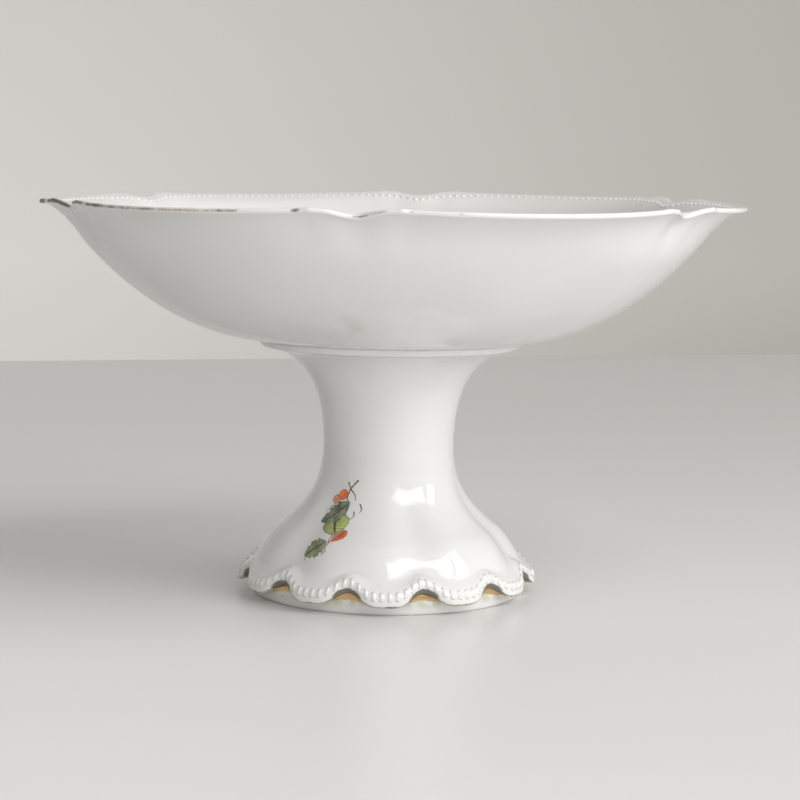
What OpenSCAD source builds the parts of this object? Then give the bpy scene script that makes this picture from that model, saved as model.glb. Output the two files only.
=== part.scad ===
// Footed porcelain comport, or cake stand, in millimetres.
// A shallow scalloped bowl is bolted to a hollow waisted pedestal with a lobed, scalloped foot.
// The origin is the middle of the standing ring, on the table, with +Z up and the front towards -Y.

/* [Bowl] */
// Diameter across the tips of the rim
rim_d = 231; // [222:1:238]
// Height of the rim's shoulders above the table
rim_h = 129; // [125:0.5:133]
// Thickness of the bowl's flat floor
floor_t = 4.4; // [3.8:0.1:5.5]
// Thickness at the rim's edge
edge_t = 1.7; // [1.3:0.1:2.2]
// How far the rim's edge draws in beside each scallop
shoulder_in = 4; // [0:0.5:5]
// How far the middle of a scallop draws in beyond its shoulders
dip_in = 3; // [0:0.5:3.5]
// How far the middle of a scallop drops
dip_down = 1.2; // [0:0.1:2]
// How far the lip's outer edge hangs below its inner one in the middle of a scallop
lip_hang = 0.5; // [0:0.1:1.5]
// How far the firing has lifted one side of the rim
rim_lift = 2; // [0:0.1:3]
// Turn of the rim's scallops from the front
rim_phase = -5.2; // [-30:0.1:30]

/* [Pedestal] */
// Height of the flange that carries the bowl
flange_h = 83.8; // [82:0.1:86]
// Diameter of the flange
flange_d = 86; // [82:1:88]
// Diameter of the waist
waist_d = 43.2; // [41:0.2:46]
// Height of the waist
waist_h = 49; // [46:0.2:52]
// Diameter across the lobes of the hem
hem_d = 98.8; // [96:0.2:101]
// Outer diameter of the ring that it stands on
foot_d = 88.6; // [86:0.2:90]
// Width of the ring's standing face
foot_w = 2.4; // [1.5:0.1:3]
// Thickness of the wall at the waist
wall_t = 3.8; // [3:0.1:5]
// Thickness of the crown that the screw passes through
crown_t = 6; // [5:0.5:7]
// How deep the flutes are
flute_depth = 2.2; // [0:0.1:3]
// How deep the notches of the hem are
notch_in = 2.8; // [0:0.1:3.5]
// How far the hem rises in a notch
notch_up = 3.8; // [0:0.1:4.2]
// Turn of a notch from the front
notch_phase = 15; // [0:1:30]

/* [Fixing] */
// Diameter of the screw
screw_d = 6; // [5:0.5:7]
// Thread pitch
pitch = 1; // [0.8:0.1:1.2]
// Diameter of the screw's domed head
head_d = 16; // [14:0.5:18]
// Height of the head
head_h = 3.4; // [3:0.1:4]
// Height of the nut
nut_h = 5; // [4:0.5:6]
// Width of the nut across its flats
nut_w = 11; // [10:0.5:12]
// Thickness of the bedding ring between bowl and flange
seat_t = 0.5; // [0.4:0.1:0.8]
// Thickness of the leather washer under the screw's head
head_washer_t = 0.8; // [0.5:0.1:1.2]
// Thickness of the leather washer under the crown
under_washer_t = 1.2; // [0.8:0.1:1.5]
// Thickness of the metal clamp washer
clamp_washer_t = 1; // [0.8:0.1:1.5]

/* [Hidden] */
$fn = 64;

// Levels, from the table up
crown_z = flange_h - crown_t;
rest_gap = 0.1;
rest_z = flange_h + rest_gap;
seat_z = flange_h + seat_t;
floor_z = seat_z + floor_t;
head_z = floor_z + head_washer_t;
clamp_z = crown_z - under_washer_t - clamp_washer_t;
nut_z = clamp_z - nut_h;
thread_show = 2 * pitch;
screw_low_z = nut_z - thread_show;
thread_high_z = crown_z - under_washer_t;

// Radii
rim_r = rim_d / 2;
flange_r = flange_d / 2;
waist_r = waist_d / 2;
hem_r = hem_d / 2;
foot_r = foot_d / 2;
screw_r = screw_d / 2;
nut_clearance = 0.05;
hole_clearance = 0.6;
hole_r = screw_r + hole_clearance;

// How the rim and the foot repeat
rim_lobes = 6;
flutes = 6;
hem_lobes = 12;
rim_sector = 360 / rim_lobes;
hem_step = 3.75;
scallop_half = 10;
scallop_step = 1.25;
segment_step = 5;

// The rim: half widths in degrees, and the rounded nubs that end each scallop
dip_half = 5.2;
nub_at = 6.8;
nub_half = 1.1;
nub_out = 0.7;
nub_up = 0.2;
shoulder_at = 7.5;
tip_drop = 0.8;
lip_start_r = 97.5;
hang_start_r = 108;

// Where the rim is lifted most, from the front, and where the lift starts
lift_at = 145;
lift_start_r = 60;

// The foot: where the flutes fade out, and where the hem's scallops do
flute_top_z = 44;
flute_full_z = 18;
flute_fade = 0.8;
flute_sharp = 3;
scallop_top_z = 15;
scallop_full_z = 7;
notch_sharp = 2;

// A smooth step from 0 at lo to 1 at hi
function ease(x, lo, hi) = let (t = max(0, min(1, (x - lo) / (hi - lo)))) t * t * (3 - 2 * t);

// Points along a cubic Bezier curve, without its first point
function bezier(p, steps) = [
  for (i = [1:steps])
    let (t = i / steps, s = 1 - t)
      s * s * s * p[0] + 3 * s * s * t * p[1] + 3 * s * t * t * p[2] + t * t * t * p[3]
];

// Points a quarter turn and more round a centre, from angle a to angle b
function arc(centre, r, a, b, steps) = [
  for (i = [0:steps])
    let (t = a + (b - a) * i / steps) centre + r * [cos(t), sin(t)]
];

// The angle to the nearest of n places that are spread evenly from a phase
function off_centre(a, n, phase) =
  let (sector = 360 / n, t = (a - phase) / sector) abs(t - round(t)) * sector;

// A point r out from the axis and z up, at angle a from the front, positive to the right
function place(r, z, a) = [r * sin(a), -r * cos(a), z];

// ---- the bowl's section ----

// The underside is hollowed for the bedding ring, and its rest hangs just clear of the flange
seat_r = 42;
recess_r = 35;
recess_slope = 0.5;
underside = [[recess_r, seat_z], [recess_r + recess_slope, rest_z], [seat_r, rest_z]];

// The outer wall as it would be under a rim with no scallops, from the seat to the edge
rim_edge = [rim_r - edge_t / 2, rim_h - tip_drop - edge_t / 2];
bowl_wall = concat(
  bezier([[seat_r, rest_z], [66, rest_z], [89.3, 101.2], [104, 119.4]], 8),
  bezier([[104, 119.4], [108.6, 124.4], [111.4, 125.6], rim_edge], 4)
);

// The inner wall, from the floor's edge to the rim
well_r = 33;
bowl_inside = concat(
  [[well_r, floor_z]],
  bezier([[well_r, floor_z], [62, floor_z], [87.5, 103.2], [101.3, 121.2]], 8),
  bezier([[101.3, 121.2], [105.6, 125.6], [109, 126.9], [rim_r - edge_t, rim_h - tip_drop]], 4)
);

// How far the edge is drawn in, and how far it drops, at an angle from the nearest scallop
function dip(a) = a < dip_half ? (1 + cos(180 * a / dip_half)) / 2 : 0;
function nub(a) = exp(-pow((a - nub_at) / nub_half, 2));
function reach(a) = a < shoulder_at ? 0
  : 1 - pow((rim_sector / 2 - a) / (rim_sector / 2 - shoulder_at), 2);
function edge_in(a) = shoulder_in * (1 - reach(a)) + dip_in * dip(a) - nub_out * nub(a);
function edge_up(a) = tip_drop * (1 - reach(a)) - dip_down * dip(a) + nub_up * nub(a);

function lift(r, a) = rim_lift * pow((1 + cos(a - lift_at)) / 2, 2) * ease(r, lift_start_r, rim_r);

// A point of the plain bowl, moved to its place in the scalloped one
function scalloped(p, a, hang) =
  let (
    w = ease(p[0], lip_start_r, rim_r),
    d = off_centre(a, rim_lobes, rim_phase),
    low = hang * dip(d) * ease(p[0], hang_start_r, rim_r - edge_t / 2)
  ) place(p[0] - w * edge_in(d), p[1] + w * edge_up(d) - low + lift(p[0], a), a);

module bowl() {
  outside = concat(underside, bowl_wall, arc(rim_edge, edge_t / 2, -50, 80, 3));
  inside = [for (i = [len(bowl_inside) - 1:-1:0]) bowl_inside[i]];
  angles = [
    for (lobe = [0:rim_lobes - 1]) each [
      for (a = [-scallop_half:scallop_step:scallop_half - scallop_step])
        rim_phase + lobe * rim_sector + a,
      for (a = [scallop_half:segment_step:rim_sector - scallop_half - segment_step])
        rim_phase + lobe * rim_sector + a
    ]
  ];
  color("whitesmoke") difference() {
    lathe([
      for (a = angles)
        concat([for (p = outside) scalloped(p, a, lip_hang)], [for (p = inside) scalloped(p, a, 0)])
    ], seat_z, floor_z);
    translate([0, 0, seat_z - 1]) cylinder(r = hole_r, h = floor_t + 2);
  }
}

// ---- the pedestal's section ----

// The flange is crisp at its top edge and rounded at its lower one
flange_edge_t = 2.4;
flange_low_r = 1.3;
flange_bevel = 0.3;
flange_low_z = flange_h - flange_edge_t;
flange = concat(
  [[flange_r - flange_bevel, flange_h], [flange_r, flange_h - flange_bevel]],
  arc([flange_r - flange_low_r, flange_low_z + flange_low_r], flange_low_r, 0, -90, 4)
);
flare_r = 36.5;
flare_z = 21.9;
skirt_r = 44.3;
skirt_z = 11.4;
stem = concat(
  bezier([[40.6, flange_low_z - 0.2], [29.4, 79], [waist_r, 70], [waist_r, waist_h]], 7),
  bezier([[waist_r, waist_h], [waist_r, 37.6], [25.8, 30], [flare_r, flare_z]], 6),
  bezier([[flare_r, flare_z], [39.6, 19.4], [42.2, 15.2], [skirt_r, skirt_z]], 4),
  bezier([[skirt_r, skirt_z], [46, 9], [hem_r - 0.1, 8.2], [hem_r, 4.6]], 4)
);
hem_edge_r = 0.9;
hem_edge_z = 4;
hem_edge = arc([hem_r - hem_edge_r, hem_edge_z], hem_edge_r, -15, -140, 3);

// The standing ring and the hollow above it, up to the middle of the crown
ring = [[foot_r + 1, 3.9], [foot_r, 0.4], [foot_r - 0.4, 0], [foot_r - foot_w, 0]];
hollow = concat(
  [[40.2, 3]],
  bezier([[40.2, 3], [37.6, 10], [34.5, 14.6], [30, 19]], 3),
  bezier([[30, 19], [21, 26.8], [waist_r - wall_t, 36], [waist_r - wall_t, waist_h]], 4),
  [[waist_r - wall_t, crown_z - 8], [waist_r - wall_t - 1.6, crown_z - 1.6], [13, crown_z]]
);

// A row of n rounded creases, 1 in the middle of each: the flutes, and the notches of the hem
function creases(a, n, sharp) = pow((1 + cos(n * (a - notch_phase))) / 2, sharp);

// A point of the plain outside, moved to its place in the fluted and scalloped one
function fluted(p, a) =
  let (
    hem = ease(scallop_top_z - p[1], 0, scallop_top_z - scallop_full_z),
    stem_part = ease(flute_top_z - p[1], 0, flute_top_z - flute_full_z),
    flute = creases(a, flutes, flute_sharp) * flute_depth * stem_part * (1 - flute_fade * hem),
    notch = creases(a, hem_lobes, notch_sharp) * hem
  ) place(p[0] - flute - notch * notch_in, p[1] + notch * notch_up, a);

module pedestal() {
  outside = concat(flange, stem, hem_edge);
  inside = concat(ring, hollow);
  color("whitesmoke") difference() {
    lathe([
      for (a = [0:hem_step:359])
        concat([for (p = outside) fluted(p, a)], [for (p = inside) place(p[0], p[1], a)])
    ], flange_h, crown_z);
    translate([0, 0, crown_z - 1]) cylinder(r = hole_r, h = crown_t + 2);
  }
}

// A closed solid through rings of points, closed at the axis at two heights. Each entry of
// columns is one section, and it runs from the height start_z to the height end_z.
module lathe(columns, start_z, end_z) {
  n = len(columns);
  m = len(columns[0]);
  points = concat([for (c = columns) each c], [[0, 0, start_z], [0, 0, end_z]]);
  faces = [
    for (i = [0:n - 1])
      let (a = i * m, b = ((i + 1) % n) * m)
        each concat(
          [[n * m, b, a], [n * m + 1, a + m - 1, b + m - 1]],
          [for (k = [0:m - 2]) each [[a + k, b + k, b + k + 1], [a + k, b + k + 1, a + k + 1]]]
        )
  ];
  polyhedron(points = points, faces = faces);
}

// ---- the pieces that hold the two together ----

// A flat ring from height z up
module washer(outer_r, inner_r, z, t) {
  translate([0, 0, z]) difference() {
    cylinder(r = outer_r, h = t);
    translate([0, 0, -1]) cylinder(r = inner_r, h = t + 2);
  }
}

seat_ring_out = 34;
seat_ring_in = 12;
head_washer_r = 9;
under_washer_r = 11;
clamp_washer_r = 9.5;
washer_clearance = 0.35;

// Cork bedding ring between the flange and the bowl
module seat_ring() {
  color("tan") washer(seat_ring_out, seat_ring_in, flange_h, seat_t);
}

// Leather washer that keeps the screw's head off the glaze
module head_washer() {
  color("saddlebrown") washer(head_washer_r, screw_r + washer_clearance, floor_z, head_washer_t);
}

// Leather washer under the crown
module under_washer() {
  color("saddlebrown")
    washer(under_washer_r, screw_r + washer_clearance, crown_z - under_washer_t, under_washer_t);
}

// Metal washer that spreads the nut's pull
module clamp_washer() {
  color("silver") washer(clamp_washer_r, screw_r + washer_clearance, clamp_z, clamp_washer_t);
}

// Domed screw with a slot, and a thread drawn as ring grooves one pitch apart
slot_w = 1.6;
slot_depth = 1.4;
thread_depth = 0.35;
tip_chamfer = 0.6;
head_rim_t = 0.8;

module screw() {
  head_r = head_d / 2;
  dome_h = head_h - head_rim_t;
  dome_r = (head_r * head_r + dome_h * dome_h) / (2 * dome_h);
  turns = floor((thread_high_z - screw_low_z - tip_chamfer) / pitch);
  thread = [
    for (i = [0:turns - 1])
      let (z = screw_low_z + tip_chamfer + i * pitch)
        each [[screw_r, z], [screw_r - thread_depth, z + pitch / 2]]
  ];
  color("goldenrod") difference() {
    union() {
      rotate_extrude() polygon(concat(
        [[0, screw_low_z], [screw_r - tip_chamfer, screw_low_z]],
        thread,
        [[screw_r, thread_high_z], [screw_r, head_z + head_rim_t], [0, head_z + head_rim_t]]
      ));
      translate([0, 0, head_z]) cylinder(r = head_r, h = head_rim_t);
      intersection() {
        translate([0, 0, head_z + head_h - dome_r]) sphere(r = dome_r);
        translate([0, 0, head_z + head_rim_t]) cylinder(r = head_r, h = head_h);
      }
    }
    translate([-head_r, -slot_w / 2, head_z + head_h - slot_depth]) cube([head_d, slot_w, head_h]);
  }
}

// Hexagonal nut with chamfered corners
nut_chamfer = 0.7;
hexagon_fn = 6;

module nut() {
  corner_r = nut_w / 2 / cos(180 / hexagon_fn);
  color("goldenrod") translate([0, 0, nut_z]) difference() {
    intersection() {
      cylinder(r = corner_r, h = nut_h, $fn = hexagon_fn);
      rotate_extrude() polygon([
        [0, 0], [corner_r - nut_chamfer, 0], [corner_r + 0.1, nut_chamfer],
        [corner_r + 0.1, nut_h - nut_chamfer], [corner_r - nut_chamfer, nut_h], [0, nut_h]
      ]);
    }
    translate([0, 0, -1]) cylinder(r = screw_r + nut_clearance, h = nut_h + 2);
  }
}

pedestal();
bowl();
seat_ring();
head_washer();
screw();
under_washer();
clamp_washer();
nut();
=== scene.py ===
"""Looks of the footed porcelain comport, or cake stand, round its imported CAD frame.

Shapes are worked out in millimetres and turned into metres when a mesh is made. The bowl and the
pedestal follow the CAD source's own curves, with far more points and with the moulded beads,
the worn gilding and the printed sprig that the CAD solids leave out. They differ from the CAD in
three small ways: the rim is a hair smaller, the flange's top edge is round where the CAD has a
bevel, and the nubs beside the scallops fade in nearer to the rim. Angles are in degrees from the
front (-Y), positive to the right (+X).
"""
import math

import bpy
import numpy as np
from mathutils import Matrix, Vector


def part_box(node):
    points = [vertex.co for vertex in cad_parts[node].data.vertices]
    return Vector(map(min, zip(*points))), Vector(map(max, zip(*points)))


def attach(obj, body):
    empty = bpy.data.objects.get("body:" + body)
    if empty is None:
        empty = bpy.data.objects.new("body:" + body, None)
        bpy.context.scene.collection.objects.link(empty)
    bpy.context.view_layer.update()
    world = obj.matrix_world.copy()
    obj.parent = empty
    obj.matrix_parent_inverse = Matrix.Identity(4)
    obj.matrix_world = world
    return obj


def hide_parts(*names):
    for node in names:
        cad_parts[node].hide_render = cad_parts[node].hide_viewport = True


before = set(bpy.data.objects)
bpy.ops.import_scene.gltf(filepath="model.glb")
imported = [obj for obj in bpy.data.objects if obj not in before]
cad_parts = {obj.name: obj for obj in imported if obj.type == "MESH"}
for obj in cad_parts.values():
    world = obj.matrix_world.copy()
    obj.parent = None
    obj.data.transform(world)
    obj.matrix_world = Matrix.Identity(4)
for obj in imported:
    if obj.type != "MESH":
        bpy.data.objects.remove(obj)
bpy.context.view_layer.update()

MM = 0.001


def height(node, end):
    """The level of a CAD node's bottom (end 0) or top (end 1), in millimetres."""
    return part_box(node)[end].z / MM


# ---------------------------------------------------------------- driving dimensions

FLANGE_H = height("pedestal", 1)
REST_Z = height("bowl", 0)
SEAT_Z = height("seat_ring", 1)
FLOOR_Z = height("head_washer", 0)
CROWN_Z = height("under_washer", 1)

# The rim, a hair inside the CAD source's own radius and height, because the CAD's facets fall short
# of its curve
RIM_R = 115.37
RIM_H = 128.93
EDGE_T = 1.7
# Its scallops: the rounded shoulders, the dip between two of them, and the nub on each side of a dip
RIM_LOBES = 6
RIM_PHASE = -5.2
RIM_SECTOR = 360 / RIM_LOBES
SHOULDER_IN, SHOULDER_AT = 4.0, 7.5
DIP_IN, DIP_DOWN, DIP_HALF = 3.0, 1.2, 5.2
NUB_AT, NUB_HALF, NUB_OUT, NUB_UP = 6.8, 1.1, 0.7, 0.2
TIP_DROP = 0.8
# How far out on the bowl each of the rim's shapes begins, how far the lip's outside hangs in a dip,
# and the smooth lift of one side
LIP_START_R = 97.5
LIP_HANG, HANG_START_R = 0.5, 108.0
NUB_START_R = 106.0
RIM_LIFT, LIFT_AT, LIFT_START_R = 2.0, 145, 60.0
HOLE_R = 3.6
# Where the bowl's underside meets the flange's edge: pooled glaze and painted shade, darker and yellower
POOL_SHADE_R, POOL_SHADE_HALF = 43.5, 1.2

FLANGE_R, FLANGE_EDGE_T, FLANGE_LOW_R, FLANGE_TOP_R = 43.0, 2.4, 1.3, 0.6
WAIST_R, WAIST_H = 21.6, 49.0
HEM_R, HEM_EDGE_R, HEM_EDGE_Z = 49.4, 0.9, 4.0
FOOT_R, FOOT_W = 44.3, 2.4
WALL_T = 3.8
HOLLOW_R = WAIST_R - WALL_T
FLUTES, HEM_LOBES = 6, 12
NOTCH_PHASE = 15.0
FLUTE_DEPTH, FLUTE_TOP_Z, FLUTE_FULL_Z = 2.2, 44.0, 18.0
FLUTE_FADE, FLUTE_SHARP = 0.8, 3
NOTCH_IN, NOTCH_UP, NOTCH_SHARP = 2.8, 3.8, 2
SCALLOP_TOP_Z, SCALLOP_FULL_Z = 15.0, 7.0

# How finely the meshes are made: degrees round the rim, in the scallops and between them, and round
# the foot
FINE_HALF, FINE_STEP, COARSE_STEP = 12, 0.4, 1.0
FOOT_STEP = 0.625
SHARP_ANGLE = 50


# ---------------------------------------------------------------- curves

def ease(x, lo, hi):
    """A smooth step from 0 at lo to 1 at hi."""
    t = np.clip((x - lo) / (hi - lo), 0, 1)
    return t * t * (3 - 2 * t)


def bump(x, half):
    """A round bump, 1 at 0 and fading to nothing a little past half."""
    return np.exp(-((x / half) ** 2))


def bezier(points, steps):
    """Points along a cubic Bezier curve, without its first point."""
    p = np.array(points, float)
    t = np.arange(1, steps + 1)[:, None] / steps
    s = 1 - t
    return s**3 * p[0] + 3 * s * s * t * p[1] + 3 * s * t * t * p[2] + t**3 * p[3]


def line(start, end, steps):
    """Points along a straight line, without its first point."""
    t = np.arange(1, steps + 1)[:, None] / steps
    return np.array(start) * (1 - t) + np.array(end) * t


def arc(centre, r, start, end, steps):
    """Points round a centre, from one angle to another, both included."""
    t = np.radians(np.linspace(start, end, steps + 1))
    return np.array(centre) + r * np.stack([np.cos(t), np.sin(t)], 1)


def off_centre(a, n, phase):
    """The angle from a to the nearest of n places spread evenly from phase."""
    sector = 360 / n
    t = (a - phase) / sector
    return np.abs(t - np.round(t)) * sector


def place(r, z, a):
    """Millimetre points r out from the axis and z up, at angle a from the front."""
    t = np.radians(a)
    return np.stack([r * np.sin(t), -r * np.cos(t), z + 0 * t], -1)


# ---------------------------------------------------------------- the bowl's shape

EDGE_MID = np.array([RIM_R - EDGE_T / 2, RIM_H - TIP_DROP - EDGE_T / 2])
BOWL_OUTSIDE = np.vstack([
    [[HOLE_R, SEAT_Z]],
    line((HOLE_R, SEAT_Z), (35, SEAT_Z), 5),
    line((35.5, REST_Z), (42, REST_Z), 2),
    bezier([(42, REST_Z), (66, REST_Z), (89.3, 101.2), (104, 119.4)], 30),
    bezier([(104, 119.4), (108.6, 124.4), (111.4, 125.6), EDGE_MID], 20)[:-1],
])
BOWL_EDGE = arc(EDGE_MID, EDGE_T / 2, -60, 90, 10)
BOWL_INSIDE = np.vstack([
    bezier([BOWL_EDGE[-1], (109, 126.9), (105.6, 125.6), (101.3, 121.2)], 30),
    bezier([(101.3, 121.2), (87.5, 103.2), (62, FLOOR_Z), (33, FLOOR_Z)], 30),
    line((33, FLOOR_Z), (HOLE_R, FLOOR_Z), 6),
])
BOWL_SECTION = np.vstack([BOWL_OUTSIDE, BOWL_EDGE, BOWL_INSIDE])
EDGE_ROW = len(BOWL_OUTSIDE) + len(BOWL_EDGE) // 2
INSIDE_ROW = len(BOWL_OUTSIDE) + len(BOWL_EDGE)


def bowl_at(a):
    """The bowl's section at a column of angles, as points r and z."""
    d = off_centre(a, RIM_LOBES, RIM_PHASE)
    dip = np.where(d < DIP_HALF, (1 + np.cos(np.pi * d / DIP_HALF)) / 2, 0)
    nub = bump(d - NUB_AT, NUB_HALF)
    half = RIM_SECTOR / 2
    reach = np.where(d < SHOULDER_AT, 0, 1 - ((half - d) / (half - SHOULDER_AT)) ** 2)
    inward = SHOULDER_IN * (1 - reach) + DIP_IN * dip
    upward = TIP_DROP * (1 - reach) - DIP_DOWN * dip
    r, z = BOWL_SECTION.T
    w = ease(r, LIP_START_R, RIM_R)
    nub = nub * ease(r, NUB_START_R, RIM_R)
    lift_side = ((1 + np.cos(np.radians(a - LIFT_AT))) / 2) ** 2
    lift = RIM_LIFT * lift_side * ease(r, LIFT_START_R, RIM_R)
    hang = LIP_HANG * ease(r, HANG_START_R, RIM_R - EDGE_T / 2) * (np.arange(len(r)) < INSIDE_ROW)
    return r - w * inward + NUB_OUT * nub, z + w * upward + NUB_UP * nub - hang * dip + lift


# ---------------------------------------------------------------- the pedestal's shape

FLANGE_LOW_Z = FLANGE_H - FLANGE_EDGE_T
# Where the sloping underside meets the standing ring, and the steps of the two lines that meet there
RING_TOP = (FOOT_R + 1, 3.9)
UNDER_STEPS, RING_STEPS = 4, 4
RING_BEVEL = 0.4
FOOT_OUTSIDE = np.vstack([
    [[HOLE_R, FLANGE_H]],
    line((HOLE_R, FLANGE_H), (FLANGE_R - FLANGE_TOP_R, FLANGE_H), 5),
    arc((FLANGE_R - FLANGE_TOP_R, FLANGE_H - FLANGE_TOP_R), FLANGE_TOP_R, 75, 0, 5),
    arc((FLANGE_R - FLANGE_LOW_R, FLANGE_LOW_Z + FLANGE_LOW_R), FLANGE_LOW_R, 0, -90, 8),
    bezier([(40.6, FLANGE_LOW_Z - 0.2), (29.4, 79), (WAIST_R, 70), (WAIST_R, WAIST_H)], 24),
    bezier([(WAIST_R, WAIST_H), (WAIST_R, 37.6), (25.8, 30), (36.5, 21.9)], 26),
    bezier([(36.5, 21.9), (39.6, 19.4), (42.2, 15.2), (44.3, 11.4)], 14),
    bezier([(44.3, 11.4), (46, 9), (HEM_R - 0.1, 8.2), (HEM_R, 4.6)], 16),
    arc((HEM_R - HEM_EDGE_R, HEM_EDGE_Z), HEM_EDGE_R, -10, -140, 8),
])
FOOT_INSIDE = np.vstack([
    line(FOOT_OUTSIDE[-1], RING_TOP, UNDER_STEPS),
    line(RING_TOP, (FOOT_R, RING_BEVEL), RING_STEPS),
    [[FOOT_R - RING_BEVEL, 0]],
    line((FOOT_R - RING_BEVEL, 0), (FOOT_R - FOOT_W, 0), 2),
    [[40.2, 3]],
    bezier([(40.2, 3), (37.6, 10), (34.5, 14.6), (30, 19)], 10),
    bezier([(30, 19), (21, 26.8), (HOLLOW_R, 36), (HOLLOW_R, WAIST_H)], 14),
    line((HOLLOW_R, WAIST_H), (HOLLOW_R, CROWN_Z - 8), 5),
    bezier([(HOLLOW_R, CROWN_Z - 8), (HOLLOW_R, CROWN_Z - 2), (15, CROWN_Z), (12, CROWN_Z)], 8),
    line((12, CROWN_Z), (HOLE_R, CROWN_Z), 3),
])
FOOT_SECTION = np.vstack([FOOT_OUTSIDE, FOOT_INSIDE])

# Rows of that section: where its z has begun to fall, the hem's rounded edge in front and below, the
# top of the standing ring, and the ring's edge on the ground
FALL_ROW = 8
HEM_FRONT_ROW = len(FOOT_OUTSIDE) - 7
HEM_LOW_ROW = len(FOOT_OUTSIDE) - 3
RING_TOP_ROW = len(FOOT_OUTSIDE) + UNDER_STEPS - 1
GROUND_ROW = RING_TOP_ROW + RING_STEPS + 1
# How much of a notch is left where the underside begins
NOTCH_UNDER = 0.75


def creases(a, n, sharp):
    """A row of n rounded creases, 1 in the middle of each: the flutes, and the hem's notches."""
    return ((1 + np.cos(np.radians(n * (a - NOTCH_PHASE)))) / 2) ** sharp


def foot_at(a):
    """The pedestal's section at a column of angles, as points r and z."""
    r, z = FOOT_OUTSIDE.T
    hem = ease(SCALLOP_TOP_Z - z, 0, SCALLOP_TOP_Z - SCALLOP_FULL_Z)
    stem_part = ease(FLUTE_TOP_Z - z, 0, FLUTE_TOP_Z - FLUTE_FULL_Z)
    flute = creases(a, FLUTES, FLUTE_SHARP) * FLUTE_DEPTH * stem_part * (1 - FLUTE_FADE * hem)
    notch = creases(a, HEM_LOBES, NOTCH_SHARP)
    out = r - flute - notch * hem * NOTCH_IN, z + notch * hem * NOTCH_UP
    # The underside's first points go from the hem's edge to the ring, so they fade out of the notch
    fade = np.zeros(len(FOOT_INSIDE))
    fade[:UNDER_STEPS] = np.linspace(NOTCH_UNDER, 0, UNDER_STEPS)
    inside = FOOT_INSIDE[:, 0] - notch * fade * NOTCH_IN, FOOT_INSIDE[:, 1] + notch * fade * NOTCH_UP
    return tuple(np.concatenate([o, i], -1) for o, i in zip(out, inside))


# ---------------------------------------------------------------- places on a surface

# The small steps, in degrees and in rows, over which a surface's directions are taken
TURN_STEP, ROW_STEP = 0.1, 0.4


def surface(section_at, angle, row):
    """Points at angles and at fractional rows of a section."""
    r, z = section_at(angle[:, None])
    low = np.clip(np.floor(row).astype(int), 0, r.shape[1] - 2)
    part = row - low
    n = np.arange(len(row))
    return place(r[n, low] * (1 - part) + r[n, low + 1] * part,
                 z[n, low] * (1 - part) + z[n, low + 1] * part, angle)


def unit(v):
    """Each vector at length 1."""
    return v / np.linalg.norm(v, axis=-1, keepdims=True)


def tangents(section_at, angle, row):
    """Places on a surface, with the ways round and along the section and the way out."""
    at = surface(section_at, angle, row)
    round_ = unit(surface(section_at, angle + TURN_STEP, row)
                  - surface(section_at, angle - TURN_STEP, row))
    along = unit(surface(section_at, angle, row + ROW_STEP)
                 - surface(section_at, angle, row - ROW_STEP))
    out = unit(np.cross(round_, along))
    if section_at is foot_at:
        out = -out
    return at, round_, along, out


def row_of(section, first, value, axis):
    """The fractional row, from the first on, where a section's r (0) or z (1) falls to a value."""
    values = section[first:, axis]
    return first + np.interp(-value, -values, np.arange(len(values)))


# ---------------------------------------------------------------- meshes

def mesh_object(name, points, faces, smooth=True):
    """A mesh object from millimetre points."""
    mesh = bpy.data.meshes.new(name)
    mesh.from_pydata((np.asarray(points) * MM).tolist(), [], faces)
    mesh.update()
    if smooth:
        mesh.shade_smooth()
    made = bpy.data.objects.new(name, mesh)
    bpy.context.scene.collection.objects.link(made)
    return made


def attribute(made, name, values):
    """Gives each of a mesh's points one number."""
    layer = made.data.attributes.new(name, "FLOAT", "POINT")
    layer.data.foreach_set("value", np.asarray(values, np.float32).ravel())


def turned(name, section_at, angles):
    """A closed solid whose section changes with the angle, with its sections' points."""
    r, z = section_at(angles[:, None])
    columns, rows = r.shape
    i, k = np.meshgrid(np.arange(columns), np.arange(rows), indexing="ij")
    i2, k2 = (i + 1) % columns, (k + 1) % rows
    quads = np.stack([i * rows + k, i2 * rows + k, i2 * rows + k2, i * rows + k2], -1)
    if section_at is foot_at:
        quads = quads[..., ::-1]
    points = place(r, z, angles[:, None] + 0 * r)
    made = mesh_object(name, points.reshape(-1, 3), quads.reshape(-1, 4).tolist())
    made.data.set_sharp_from_angle(angle=math.radians(SHARP_ANGLE))
    return made


# A bead's points: how many round it and from its top to its rim, and how deep its rim and back go
BEAD_STEPS, BEAD_RINGS = 12, 5
BEAD_RIM_SUNK, BEAD_BACK_SUNK = 0.05, 0.25


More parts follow.
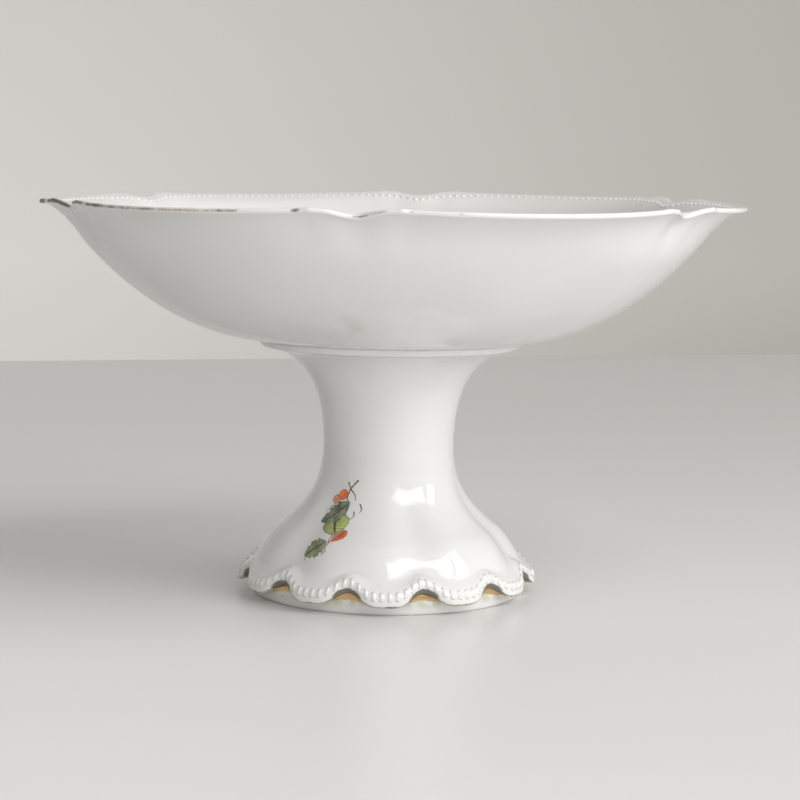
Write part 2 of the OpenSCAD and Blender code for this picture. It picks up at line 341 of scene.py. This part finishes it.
def beads(name, section_at, angle, row, half_round, half_along, proud):
    """A row of soft moulded beads, each a closed lens whose rim is sunk in the surface."""
    at, round_, along, out = tangents(section_at, angle, row)
    steps, rings = BEAD_STEPS, np.linspace(0, 1, BEAD_RINGS + 1)[1:]
    turn = np.radians(np.arange(steps) * 360 / steps)
    disc = [(0.0, 0.0, proud)]
    for ring in rings:
        wide, long = ring * half_round, ring * half_along
        rise = proud * (1 + math.cos(math.pi * ring)) / 2 - BEAD_RIM_SUNK * ring
        disc += [(wide * math.cos(t), long * math.sin(t), rise) for t in turn]
    disc.append((0.0, 0.0, -BEAD_BACK_SUNK))
    disc = np.array(disc)
    points = at[:, None] + sum(way[:, None] * disc[None, :, i:i + 1]
                               for i, way in enumerate((round_, along, out)))
    faces = []
    last = len(disc) - 1
    for j in range(steps):
        j2 = (j + 1) % steps
        faces.append((0, 1 + j, 1 + j2))
        for ring in range(len(rings) - 1):
            a, b = 1 + ring * steps, 1 + (ring + 1) * steps
            faces.append((a + j, b + j, b + j2, a + j2))
        faces.append((last, last - steps + j2, last - steps + j))
    if section_at is foot_at:
        faces = [face[::-1] for face in faces]
    all_faces = []
    for n in range(len(at)):
        all_faces += [tuple(v + n * len(disc) for v in face) for face in faces]
    return mesh_object(name, points.reshape(-1, 3), all_faces)


def finish_piece(made, body, material, stands_for=None):
    """Puts a piece on its body and material."""
    if stands_for:
        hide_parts(stands_for)
    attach(made, body)
    made.data.materials.append(material)


# ---------------------------------------------------------------- worn gilding

# The gilding left on the rim: from and to in degrees, how much of it, how dark, and how many
# millimetres wide
RIM_GILDING = [
    (-98, -77, 1.0, 0.9, 1.1), (-76, -66, 1.0, 0.85, 0.8), (-64, -56, 0.8, 0.75, 0.7),
    (-55, -47, 0.75, 0.7, 0.7), (-48, -22, 0.66, 0.62, 0.6), (-14.6, -13.2, 0.8, 0.9, 0.8),
    (-6, -0.6, 0.62, 0.8, 0.5), (2.4, 3.4, 0.5, 0.5, 0.45), (9, 11, 0.5, 0.4, 0.4),
    (50.2, 51.8, 0.7, 0.3, 0.6), (98, 104, 0.6, 0.4, 0.5), (112, 127, 0.6, 0.7, 0.6),
    (133, 136, 0.9, 0.9, 0.9), (150, 171, 0.6, 0.5, 0.5), (178, 181, 0.9, 0.8, 0.8),
    (186, 205, 0.6, 0.6, 0.6), (214, 219, 0.9, 0.7, 0.9), (228, 246, 0.7, 0.8, 0.8),
]


def rim_wear(a, away):
    """The gilding left at each angle and distance from the rim's edge, and how dark it has gone."""
    kept = np.zeros((len(a), len(away)))
    dark = np.zeros((len(a), 1))
    for start, end, much, tone, wide in RIM_GILDING:
        t = (a - start + 180) % 360 - 180
        soft = min(1.2, (end - start) / 3)
        inside = ease(t, -soft, soft) * (1 - ease(t, end - start - soft, end - start + soft))
        kept = np.maximum(kept, much * inside[:, None] * bump(away, wide))
        dark = np.where(inside[:, None] > 0, tone, dark)
    return kept, dark


def along_section(section):
    """The distance along a section to each of its rows."""
    return np.concatenate([[0], np.cumsum(np.linalg.norm(np.diff(section, axis=0), axis=1))])


def rim_angles():
    """Angles round the rim, closer together in the scallops."""
    near = np.arange(-FINE_HALF, FINE_HALF, FINE_STEP)
    far = np.arange(FINE_HALF, RIM_SECTOR - FINE_HALF, COARSE_STEP)
    one = np.concatenate([near, far])
    return (RIM_PHASE + np.arange(RIM_LOBES)[:, None] * RIM_SECTOR + one).ravel()


def make_bowl(china):
    """The bowl, with its gilding and, beside its seat, pooled glaze darkened as painted shade."""
    angles = rim_angles()
    made = turned("bowl_porcelain", bowl_at, angles)
    s = along_section(BOWL_SECTION)
    kept, dark = rim_wear(angles, s - s[EDGE_ROW])
    attribute(made, "gilt", kept)
    attribute(made, "tarnish", dark + 0 * kept)
    # Pooled glaze and painted shade in the crease where the bowl's underside meets the flange's edge
    pool_shade_by_the_seat = bump(BOWL_SECTION[:, 0] - POOL_SHADE_R, POOL_SHADE_HALF) * (BOWL_SECTION[:, 1] < REST_Z + 1)
    attribute(made, "pool_and_shade", pool_shade_by_the_seat + 0 * kept)
    finish_piece(made, "bowl", china, "bowl")


# The rim's beads: how far they run inside its edge, and how much further in they swing at a dip
BEADS_PER_SECTOR = 44
BEAD_IN, BEAD_SWING, BEAD_SWING_HALF = 4.3, 2.2, 16
RIM_BEAD_HALF, RIM_BEAD_PROUD = 0.95, 0.5


def make_rim_beads(china):
    """The row of round beads inside the bowl's rim."""
    count = RIM_LOBES * BEADS_PER_SECTOR
    angle = RIM_PHASE + (np.arange(count) + 0.5) * 360 / count
    d = off_centre(angle, RIM_LOBES, RIM_PHASE)
    swing = np.where(d < BEAD_SWING_HALF, (1 + np.cos(np.pi * d / BEAD_SWING_HALF)) / 2, 0)
    row = row_of(BOWL_SECTION, INSIDE_ROW, RIM_R - BEAD_IN - BEAD_SWING * swing, 0)
    made = beads("rim_beads", bowl_at, angle, row, RIM_BEAD_HALF, RIM_BEAD_HALF, RIM_BEAD_PROUD)
    finish_piece(made, "bowl", china)


# The hem's beads are taller than they are wide
HEM_BEADS, HEM_BEAD_Z = 120, 6.7
HEM_BEAD_HALF_WIDE, HEM_BEAD_HALF_TALL, HEM_BEAD_PROUD = 1.0, 1.6, 0.3


def make_hem_beads(china):
    """The row of upright beads round the skirt's hem."""
    angle = NOTCH_PHASE + (np.arange(HEM_BEADS) + 0.5) * 360 / HEM_BEADS
    row = np.full(HEM_BEADS, row_of(FOOT_OUTSIDE, FALL_ROW, HEM_BEAD_Z, 1))
    made = beads("hem_beads", foot_at, angle, row,
                 HEM_BEAD_HALF_WIDE, HEM_BEAD_HALF_TALL, HEM_BEAD_PROUD)
    finish_piece(made, "pedestal", china)


# How dark the hem's gilding has gone: black over a notch, bright inside one and browned elsewhere
PATCH_TONE, NOTCH_TONE, HEM_TONE = 0.95, 0.12, 0.66
# The patch over a notch begins and is full this far up from the hem's edge, and ends just under it
PATCH_TOP, PATCH_FULL, PATCH_END = -3.3, -1.9, 0.4


def make_pedestal(china):
    """The pedestal, with the gilding left in its hem's notches, over them, and along two edges."""
    angles = np.arange(0, 360, FOOT_STEP)
    made = turned("pedestal_porcelain", foot_at, angles)
    notch = creases(angles, HEM_LOBES, NOTCH_SHARP)[:, None]
    s = along_section(FOOT_SECTION)
    ring_top = s[RING_TOP_ROW]
    away = s - s[HEM_LOW_ROW]
    down_face = away / (ring_top - s[HEM_LOW_ROW])
    wave = np.sin(np.radians(7 * angles + 40)) * np.sin(np.radians(3 * angles))
    ripple = np.sin(np.radians(41 * angles)) * np.sin(np.radians(5 * angles + 70))

    in_notch = ease(notch, 0.04, 0.2) * ease(away, -0.9, 0) * (1 - ease(down_face, 0.68, 0.92))
    patch_worn = 1.1 + 0.2 * wave[:, None]
    patch_high = ease(away, PATCH_TOP, PATCH_FULL)
    over_notch = patch_worn * ease(notch, 0.2, 0.75) * patch_high * (away < PATCH_END)
    along_edge = (0.75 + 0.2 * ripple[:, None]) * bump(s - s[HEM_FRONT_ROW], 0.5)
    on_ground = 0.62 * bump(s - s[GROUND_ROW], 0.4) + 0 * notch
    attribute(made, "gilt", np.maximum.reduce([in_notch, over_notch, along_edge, on_ground]))

    plain_tone = np.where(notch > 0.12, NOTCH_TONE, HEM_TONE)
    in_patch = (away < PATCH_END) & (notch > 0.2)
    attribute(made, "tarnish", np.where(in_patch, PATCH_TONE, plain_tone))
    # Pooled glaze and painted shade in the recess where the underside meets the standing ring
    attribute(made, "pool_and_shade", bump(s - ring_top, 1.5) + 0 * notch)
    finish_piece(made, "pedestal", china, "pedestal")


# ---------------------------------------------------------------- the printed sprig

SPRIG_ANGLE, SPRIG_Z = -34.0, 28.0
PAINT_T, PAINT_SUNK = 0.05, 0.15

TWIG_BROWN = (0.16, 0.035, 0.025)
BERRY_ORANGE = (0.72, 0.13, 0.035)
BUD_RED = (0.62, 0.10, 0.035)
DARK_GREEN = (0.085, 0.13, 0.085)
LIGHT_GREEN = (0.36, 0.42, 0.12)
MOSS_GREEN = (0.16, 0.21, 0.085)


def sprig_place(flat):
    """Flat points, in millimetres right and up from the sprig's middle, laid on the foot."""
    s = along_section(FOOT_OUTSIDE)
    rows = np.arange(len(s))
    middle = row_of(FOOT_OUTSIDE, FALL_ROW, SPRIG_Z, 1)
    row = np.interp(np.interp(middle, rows, s) - flat[:, 1], s, rows)
    r = np.interp(row, rows, FOOT_OUTSIDE[:, 0])
    angle = SPRIG_ANGLE + np.degrees(flat[:, 0] / r)
    at, _, _, out = tangents(foot_at, angle, row)
    return at, out


class Paint:
    """Collects flat patches of enamel, each a grid of points, and makes them one mesh object."""

    def __init__(self):
        self.flat, self.colour, self.edge, self.vein, self.grids = [], [], [], [], []

    def grid(self, flat, colour, edge, vein):
        """Adds a grid of points, with how near each is to an outline and to a vein."""
        self.grids.append((sum(len(f) for f in self.flat), flat.shape[:2]))
        self.flat.append(flat.reshape(-1, 2))
        self.colour.append(np.broadcast_to(np.array(colour), flat.shape[:2] + (3,)).reshape(-1, 3))
        self.edge.append(edge.ravel())
        self.vein.append(vein.ravel())

    def leaf(self, base, tip, half_wide, colour, teeth=0.0, bend=0.0, fullest=0.45, broken=0.0):
        """A leaf from base to tip, with toothed sides and slanting veins."""
        t = np.linspace(0, 1, 37)[:, None]
        side = np.linspace(-1, 1, 13)[None, :]
        base, tip = np.array(base, float), np.array(tip, float)
        way = tip - base
        across = np.array([-way[1], way[0]]) / np.hypot(*way)
        swell = np.sin(np.pi * t ** (math.log(0.5) / math.log(fullest))) ** 0.8
        tooth = 1 + teeth * (1 - np.abs(((t * 6) % 1) * 2 - 1)) - broken * np.clip(np.sin(t * 21), 0, 1)
        wide = half_wide * swell * tooth * side
        mid = base + way * t + across * bend * np.sin(np.pi * t)
        flat = mid[:, None] + across * wide[..., None]
        slant = (t * 7 - np.abs(side) * 1.1) % 1
        veins = np.maximum(bump(slant - 0.5, 0.1) * 0.75, bump(side, 0.09) + 0 * t)
        shade = 1 + 0.25 * side + 0.15 * np.cos(9 * t)
        tone = np.clip(np.array(colour) * shade[..., None], 0, 1)
        self.grid(flat, tone, np.abs(side) + 0 * t, veins)

    def berry(self, centre, r, colour):
        """A round berry, painted lighter up on its left."""
        ring = np.linspace(0.02, 1, 7)[:, None]
        turn = np.radians(np.linspace(0, 360, 21))[None, :]
        x, y = centre
        flat = np.stack([x + r * ring * np.cos(turn), y + r * ring * np.sin(turn)], -1)
        away = np.hypot(flat[..., 0] - x + r / 3, flat[..., 1] - y - r / 3)
        light = 1 + 0.6 * bump(away, r / 2)
        tone = np.clip(np.array(colour) * light[..., None], 0, 1)
        self.grid(flat, tone, ring + 0 * turn, 0 * ring * turn)

    def twig(self, points, thick):
        """A tapering brown stroke through points."""
        p = np.array(points, float)
        s = along_section(p)
        t = np.linspace(0, s[-1], max(6, int(s[-1] * 3)))
        mid = np.stack([np.interp(t, s, p[:, 0]), np.interp(t, s, p[:, 1])], -1)
        way = unit(np.gradient(mid, axis=0))
        across = np.stack([-way[:, 1], way[:, 0]], -1)
        half = thick / 2 * (1 - 0.5 * t / s[-1]) * (1 + 0.3 * np.sin(t * 5))
        side = np.linspace(-1, 1, 3)
        flat = mid[:, None] + across[:, None] * (half[:, None] * side)[..., None]
        plain = 0 * half[:, None] * side
        self.grid(flat, TWIG_BROWN, plain, plain)

    def solid(self, name):
        """The patches, each a little proud of the glaze and closed below it, in one mesh object."""
        flat = np.vstack(self.flat)
        at, out = sprig_place(flat)
        n = len(flat)
        faces = []
        for start, (rows, columns) in self.grids:
            ids = start + np.arange(rows * columns).reshape(rows, columns)
            quads = np.stack([ids[:-1, :-1], ids[1:, :-1], ids[1:, 1:], ids[:-1, 1:]], -1)
            quads = quads.reshape(-1, 4)
            faces += quads.tolist() + (quads[:, ::-1] + n).tolist()
            rim = np.concatenate([ids[0, :-1], ids[:-1, -1], ids[-1, :0:-1], ids[:0:-1, 0]])
            after = np.roll(rim, -1)
            faces += np.stack([rim, after, after + n, rim + n], -1).tolist()
        made = mesh_object(name, np.vstack([at + out * PAINT_T, at - out * PAINT_SUNK]), faces)
        layer = made.data.attributes.new("paint", "FLOAT_COLOR", "POINT")
        colour = np.hstack([np.vstack(self.colour), np.ones((n, 1))])
        layer.data.foreach_set("color", np.vstack([colour, colour]).astype(np.float32).ravel())
        attribute(made, "edge", np.tile(np.concatenate(self.edge), 2))
        attribute(made, "vein", np.tile(np.concatenate(self.vein), 2))
        return made


def make_sprig(enamel):
    """The printed sprig: three leaves, two berries and a bud, and eight twigs."""
    leaves = Paint()
    leaves.leaf((-0.4, 1.2), (3.6, -7.4), 4.9, LIGHT_GREEN, teeth=0.08, bend=-0.6)
    leaves.leaf((2.8, 6.0), (-6.4, -3.2), 3.3, DARK_GREEN, teeth=0.2, bend=0.9, broken=0.2)
    leaves.leaf((1.8, -10.4), (-5.8, -17.0), 3.1, MOSS_GREEN, teeth=0.26, broken=0.2)
    fruit = Paint()
    fruit.berry((-3.1, 6.2), 1.7, BERRY_ORANGE)
    fruit.berry((-0.6, 8.1), 1.9, BERRY_ORANGE)
    fruit.leaf((6.6, -5.0), (3.4, -10.2), 1.9, BUD_RED, teeth=0.15, fullest=0.4)
    twigs = Paint()
    twigs.twig([(3.8, 13.4), (1.6, 10.4), (1.2, 7.2), (2.3, 5.8)], 0.6)
    twigs.twig([(0.3, 12.6), (1.6, 10.4), (3.9, 8.4), (4.6, 6.6)], 0.5)
    twigs.twig([(6.6, 5.4), (7.9, 3.6), (7.6, 2.2)], 0.42)
    twigs.twig([(5.6, 2.6), (6.3, 0.8), (5.4, -0.4)], 0.45)
    twigs.twig([(1.9, -6.4), (2.6, -8.2), (2.2, -10.4)], 0.5)
    twigs.twig([(3.0, -10.0), (2.2, -12.6), (2.9, -14.0), (1.8, -15.6)], 0.45)
    twigs.twig([(-4.6, -15.4), (-5.3, -16.6), (-4.9, -18.4)], 0.42)
    twigs.twig([(-1.2, 4.4), (-4.4, 3.6), (-6.0, 1.0)], 0.3)
    for name, patches in (("sprig_twigs", twigs), ("sprig_leaves", leaves), ("sprig_fruit", fruit)):
        finish_piece(patches.solid(name), "pedestal", enamel)


# ---------------------------------------------------------------- materials

# A mix node's colour sockets: its two inputs and its output
MIX_A, MIX_B, MIX_OUT = 6, 7, 2


class Nodes:
    """A material's node tree, with short ways to add the nodes used here."""

    def __init__(self, name):
        self.material = bpy.data.materials.new(name)
        self.material.use_nodes = True
        self.tree = self.material.node_tree
        self.shader = self.tree.nodes["Principled BSDF"]
        coordinates = self.tree.nodes.new("ShaderNodeTexCoord")
        self.place = coordinates.outputs["Object"]

    def put(self, socket, value):
        """Links a socket to another node's output, or sets it to a constant."""
        if isinstance(value, bpy.types.NodeSocket):
            self.tree.links.new(value, socket)
        elif isinstance(value, tuple):
            socket.default_value = (*value, 1) if len(value) == 3 and socket.type == "RGBA" else value
        else:
            socket.default_value = value

    def noise(self, scale, detail=3.0, rough=0.5, stretch=None):
        """Cloudy noise, from 0 to 1."""
        node = self.tree.nodes.new("ShaderNodeTexNoise")
        place = self.place
        if stretch:
            mapping = self.tree.nodes.new("ShaderNodeMapping")
            self.put(mapping.inputs["Vector"], self.place)
            mapping.inputs["Scale"].default_value = stretch
            place = mapping.outputs["Vector"]
        self.put(node.inputs["Vector"], place)
        node.inputs["Scale"].default_value = scale
        node.inputs["Detail"].default_value = detail
        node.inputs["Roughness"].default_value = rough
        return node.outputs["Fac"]

    def cells(self, scale, output="Distance"):
        """Voronoi cells: how far a place is from a cell's middle, or each cell's colour."""
        node = self.tree.nodes.new("ShaderNodeTexVoronoi")
        self.put(node.inputs["Vector"], self.place)
        node.inputs["Scale"].default_value = scale
        return node.outputs[output]

    def along(self, axis):
        """The place along an axis, in metres."""
        node = self.tree.nodes.new("ShaderNodeSeparateXYZ")
        self.put(node.inputs[0], self.place)
        return node.outputs[axis]

    def given(self, name, output="Fac"):
        """A number or colour stored on the mesh's points."""
        node = self.tree.nodes.new("ShaderNodeAttribute")
        node.attribute_name = name
        return node.outputs[output]

    def maths(self, operation, a, b):
        """Two values put together by an operation."""
        node = self.tree.nodes.new("ShaderNodeMath")
        node.operation = operation
        self.put(node.inputs[0], a)
        self.put(node.inputs[1], b)
        return node.outputs[0]

    def between(self, value, low, high, out_low=0.0, out_high=1.0):
        """Takes a value from one range to another, clamped and smooth."""
        node = self.tree.nodes.new("ShaderNodeMapRange")
        node.interpolation_type = "SMOOTHSTEP"
        for socket, amount in zip(list(node.inputs)[:5], (value, low, high, out_low, out_high)):
            self.put(socket, amount)
        return node.outputs["Result"]

    def mix(self, part, a, b, blend="MIX"):
        """Colour a with a part of colour b."""
        node = self.tree.nodes.new("ShaderNodeMix")
        node.data_type = "RGBA"
        node.blend_type = blend
        self.put(node.inputs["Factor"], part)
        self.put(node.inputs[MIX_A], a)
        self.put(node.inputs[MIX_B], b)
        return node.outputs[MIX_OUT]

    def bumps(self, value, depth_mm, after=None):
        """A bumped normal, on top of another one where it is given."""
        node = self.tree.nodes.new("ShaderNodeBump")
        self.put(node.inputs["Height"], value)
        node.inputs["Strength"].default_value = 1.0
        node.inputs["Distance"].default_value = depth_mm * MM
        if after:
            self.put(node.inputs["Normal"], after)
        return node.outputs["Normal"]

    def finish(self, colour, roughness, metallic=0.0, normal=None):
        """Sets the shader and gives the finished material."""
        self.put(self.shader.inputs["Base Color"], colour)
        self.put(self.shader.inputs["Roughness"], roughness)
        self.put(self.shader.inputs["Metallic"], metallic)
        if normal:
            self.put(self.shader.inputs["Normal"], normal)
        return self.material


# The third tone is partly pooled glaze and partly painted shade in the creases
GLAZE_WHITE, GLAZE_GREYER, GLAZE_POOLED_AND_SHADE = (0.715, 0.71, 0.695), (0.69, 0.686, 0.675), (0.50, 0.50, 0.38)
SPECK_BROWN = (0.16, 0.12, 0.08)
GOLD, GOLD_TARNISHED = (0.66, 0.42, 0.15), (0.085, 0.06, 0.032)
GLAZE_IOR = 1.6


def porcelain():
    """White glaze, a little uneven, with specks, pooled glaze darkened as painted shade in the creases,
    and what is left of the gilding.
    """
    n = Nodes("glazed_porcelain")
    tone = n.mix(n.between(n.noise(22, 2), 0.35, 0.65), GLAZE_WHITE, GLAZE_GREYER)
    # Darker, yellower glaze in the creases marked on the mesh: partly pooled glaze, partly painted shade
    tone = n.mix(n.maths("MULTIPLY", n.given("pool_and_shade"), n.between(n.noise(300, 3), 0.35, 0.7)),
                 tone, GLAZE_POOLED_AND_SHADE)
    speck = n.between(n.cells(85), 0.014, 0.024, 1, 0)
    rare = n.between(n.noise(45, 1), 0.56, 0.6)
    tone = n.mix(n.maths("MULTIPLY", speck, rare), tone, SPECK_BROWN)
    worn = n.noise(900, 5, 0.65)
    patchy = n.noise(160, 3, 0.6)
    much = n.maths("ADD", n.given("gilt"), n.maths("MULTIPLY", n.maths("SUBTRACT", worn, 0.5), 0.9))
    much = n.maths("ADD", much, n.maths("MULTIPLY", n.maths("SUBTRACT", patchy, 0.5), 0.7))
    gilded = n.between(much, 0.25, 0.85, 0, 0.9)
    gilded = n.maths("MULTIPLY", gilded, n.between(n.given("gilt"), 0.05, 0.2))
    dark = n.maths("ADD", n.given("tarnish"), n.maths("MULTIPLY", n.maths("SUBTRACT", patchy, 0.5), 1.2))
    dark = n.between(dark, 0.35, 0.75)
    colour = n.mix(gilded, tone, n.mix(dark, GOLD, GOLD_TARNISHED))
    rough = n.between(n.noise(60, 3), 0.3, 0.7, 0.04, 0.08)
    rough = n.maths("ADD", rough, n.maths("MULTIPLY", gilded, n.between(dark, 0, 1, 0.16, 0.4)))
    metal = n.maths("MULTIPLY", gilded, n.between(dark, 0, 0.8, 0.75, 0.0))
    waves = n.bumps(n.noise(28, 2), 0.16)
    waves = n.bumps(n.maths("MULTIPLY", worn, gilded), 0.03, n.bumps(n.noise(260, 2), 0.004, waves))
    n.shader.inputs["IOR"].default_value = GLAZE_IOR
    return n.finish(colour, rough, metal, waves)


def enamel():
    """Painted colours, thin where worn, with brown outlines and veins."""
    n = Nodes("painted_enamel")
    worn_through, line_brown = (0.45, 0.46, 0.36), (0.085, 0.045, 0.02)
    fine = n.noise(1400, 4, 0.6)
    worn = n.between(n.noise(420, 3), 0.35, 0.7, 0, 0.5)
    colour = n.mix(worn, n.given("paint", "Color"), worn_through)
    outline = n.maths("ADD", n.given("edge"), n.maths("MULTIPLY", fine, 0.5))
    outline = n.between(outline, 1.0, 1.3, 0, 0.7)
    veins = n.between(n.maths("MULTIPLY", n.given("vein"), n.between(fine, 0.2, 0.5)), 0.35, 0.6)
    colour = n.mix(n.maths("MAXIMUM", outline, veins), colour, line_brown)
    return n.finish(colour, n.between(fine, 0.3, 0.7, 0.14, 0.26), 0.0, n.bumps(fine, 0.01))


def brass():
    """Old brass, browned where it isn't rubbed."""
    n = Nodes("aged_brass")
    rubbed, browned = (0.66, 0.46, 0.19), (0.24, 0.15, 0.06)
    age = n.noise(260, 5, 0.6)
    colour = n.mix(n.between(age, 0.35, 0.65), rubbed, browned)
    rough = n.between(age, 0.3, 0.7, 0.26, 0.5)
    return n.finish(colour, rough, 0.95, n.bumps(n.noise(900, 4), 0.02))


def leather():
    """Brown leather, creased and darker at its pores."""
    n = Nodes("washer_leather")
    pore, tan, stained = (0.10, 0.05, 0.025), (0.26, 0.14, 0.07), (0.16, 0.09, 0.05)
    pores = n.cells(900)
    colour = n.mix(n.between(pores, 0.1, 0.5), pore, tan)
    colour = n.mix(n.between(n.noise(140, 3), 0.4, 0.7, 0, 0.5), colour, stained)
    return n.finish(colour, 0.72, 0.0, n.bumps(pores, 0.12))


def steel():
    """Plain steel with turned marks and a little rust."""
    n = Nodes("turned_steel")
    dull, bright, rusty = (0.42, 0.42, 0.41), (0.60, 0.60, 0.58), (0.22, 0.10, 0.045)
    marks = n.noise(60, 4, 0.6, stretch=(6, 6, 60))
    rust = n.between(n.noise(240, 5, 0.65), 0.56, 0.66)
    colour = n.mix(rust, n.mix(marks, dull, bright), rusty)
    metal = n.maths("SUBTRACT", 1.0, rust)
    return n.finish(colour, n.between(marks, 0.3, 0.7, 0.28, 0.42), metal, n.bumps(marks, 0.03))


def cork():
    """Pressed cork: pale grains with dark gaps."""
    n = Nodes("pressed_cork")
    pale, gap = (0.46, 0.31, 0.18), (0.16, 0.09, 0.045)
    grain = n.cells(420)
    shade = n.cells(420, "Color")
    colour = n.mix(0.35, pale, shade, "SOFT_LIGHT")
    colour = n.mix(n.between(grain, 0.35, 0.6), colour, gap)
    return n.finish(colour, 0.85, 0.0, n.bumps(grain, -0.15))


HARDWARE = {
    "seat_ring": cork, "head_washer": leather, "under_washer": leather,
    "screw": brass, "nut": brass, "clamp_washer": steel,
}


def dress_hardware():
    """Gives the CAD pieces that stay as they are their own materials."""
    made = {}
    for node, look in HARDWARE.items():
        if look not in made:
            made[look] = look()
        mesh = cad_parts[node].data
        mesh.materials.clear()
        mesh.materials.append(made[look])


# ---------------------------------------------------------------- stage, camera and light

# The camera's place in metres, how far it looks down and is rolled in degrees, and its lens in mm
CAMERA_RIGHT, CAMERA_BACK, CAMERA_UP = 0.0023, 0.738, 0.1435
CAMERA_DOWN, CAMERA_ROLL = 6.19, 0.89
CAMERA_LENS = 100.9


def make_camera():
    """A camera in front of the object, a little above its rim and looking slightly down."""
    data = bpy.data.cameras.new("camera")
    data.lens = CAMERA_LENS
    made = bpy.data.objects.new("camera", data)
    made.location = (CAMERA_RIGHT, -CAMERA_BACK, CAMERA_UP)
    made.rotation_euler = (math.radians(90 - CAMERA_DOWN), math.radians(-CAMERA_ROLL), 0)
    bpy.context.scene.collection.objects.link(made)
    bpy.context.scene.camera = made


# The table top's and the wall's tones, each from one side of the object to the other: painted shade,
# darker towards the table's back and the wall's right
TABLE_FRONT_TONE, TABLE_BACK_SHADE_TONE = (0.80, 0.80, 0.795), (0.60, 0.60, 0.585)
WALL_LEFT_TONE, WALL_RIGHT_SHADE_TONE = (0.69, 0.69, 0.66), (0.60, 0.585, 0.545)
# Faint random blotches of painted shade on the table and the wall: their grey, and how much of it at
# most
SHADE_BLOTCH_TONE, SHADE_BLOTCH_MOST = (0.3, 0.3, 0.3), 0.02


def plain_paint(name, first, last, axis, span, roughness):
    """Paint whose tone goes from one to another along an axis, between -span and span metres, as painted
    shade, with faint blotches of painted shade.
    """
    n = Nodes(name)
    tone = n.mix(n.between(n.along(axis), -span, span), first, last)
    # Faint random blotches of painted shade
    tone = n.mix(n.between(n.noise(3, 3), 0.3, 0.7, 0, SHADE_BLOTCH_MOST), tone, SHADE_BLOTCH_TONE)
    return n.finish(tone, roughness)


# In millimetres: the table's back edge behind the object and how much further back it goes to the
# right, half the width of both table and wall, and the wall's distance, bottom and top
TABLE_BACK, TABLE_SLANT = 866, 0.27
STAGE_HALF = 3000
WALL_BACK, WALL_LOW, WALL_HIGH = 2400, -2500, 3500


def make_stage():
    """A pale table top whose back edge runs a little askew, and a pale wall well behind it."""
    half = STAGE_HALF
    left = (-half / 2, TABLE_BACK - TABLE_SLANT * half / 2)
    right = (half, TABLE_BACK + TABLE_SLANT * half)
    edge = [(-half, -half), (half, -half), right, left, (-half, left[1])]
    floor = mesh_object("floor", [(x, y, 0) for x, y in edge], [(0, 1, 2, 3, 4)], smooth=False)
    # The table's tone is painted shade, darker towards its back
    floor.data.materials.append(
        plain_paint("floor_paint", TABLE_FRONT_TONE, TABLE_BACK_SHADE_TONE, "Y", 0.5, 0.32))
    corners = [(-half, WALL_LOW), (half, WALL_LOW), (half, WALL_HIGH), (-half, WALL_HIGH)]
    wall = mesh_object("wall", [(x, WALL_BACK, z) for x, z in corners], [(0, 1, 2, 3)], smooth=False)
    # The wall's tone is painted shade, darker and warmer towards its right
    wall.data.materials.append(
        plain_paint("wall_paint", WALL_LEFT_TONE, WALL_RIGHT_SHADE_TONE, "X", 0.9, 0.8))


SKY_COLOUR, SKY_STRENGTH = (1.0, 0.985, 0.955, 1), 0.45


def area_light(name, at, size, power, aim=(0, 0, 0.07), glossy=True):
    """A rectangular light in metres and watts, aimed at a place, and seen in reflections if glossy."""
    data = bpy.data.lights.new(name, "AREA")
    data.shape = "RECTANGLE"
    data.size, data.size_y = size
    data.energy = power
    made = bpy.data.objects.new(name, data)
    made.location = at
    made.rotation_euler = (Vector(at) - Vector(aim)).to_track_quat("Z", "Y").to_euler()
    made.visible_glossy = glossy
    made.visible_camera = False
    bpy.context.scene.collection.objects.link(made)


def make_light():
    """A window of two panes to the front right, an even sky all round, and four fills.

    The fills stand for light off the room's walls and don't show in reflections.
    """
    area_light("window_left", (0.66, -0.82, 1.15), (0.72, 1.15), 8.5)
    area_light("window_right", (1.17, -0.32, 1.15), (0.42, 1.15), 5)
    area_light("side_fill", (1.6, -0.75, 0.7), (1.2, 0.7), 12, aim=(0, 0, 0.1), glossy=False)
    area_light("low_fill", (0.9, -2.3, 0.16), (2.2, 0.3), 19, aim=(0, 0, 0.08), glossy=False)
    area_light("back_fill", (-0.5, 1.5, 1.2), (0.6, 0.9), 3, glossy=False)
    area_light("wall_wash", (-0.9, 1.2, -0.3), (1.6, 0.6), 7, aim=(-0.9, 2.4, -0.3), glossy=False)
    world = bpy.data.worlds.new("room")
    world.use_nodes = True
    sky = world.node_tree.nodes["Background"]
    sky.inputs["Color"].default_value = SKY_COLOUR
    sky.inputs["Strength"].default_value = SKY_STRENGTH
    bpy.context.scene.world = world
    bpy.context.scene.view_settings.view_transform = "Standard"


china = porcelain()
make_bowl(china)
make_rim_beads(china)
make_pedestal(china)
make_hem_beads(china)
make_sprig(enamel())
dress_hardware()
make_stage()
make_camera()
make_light()
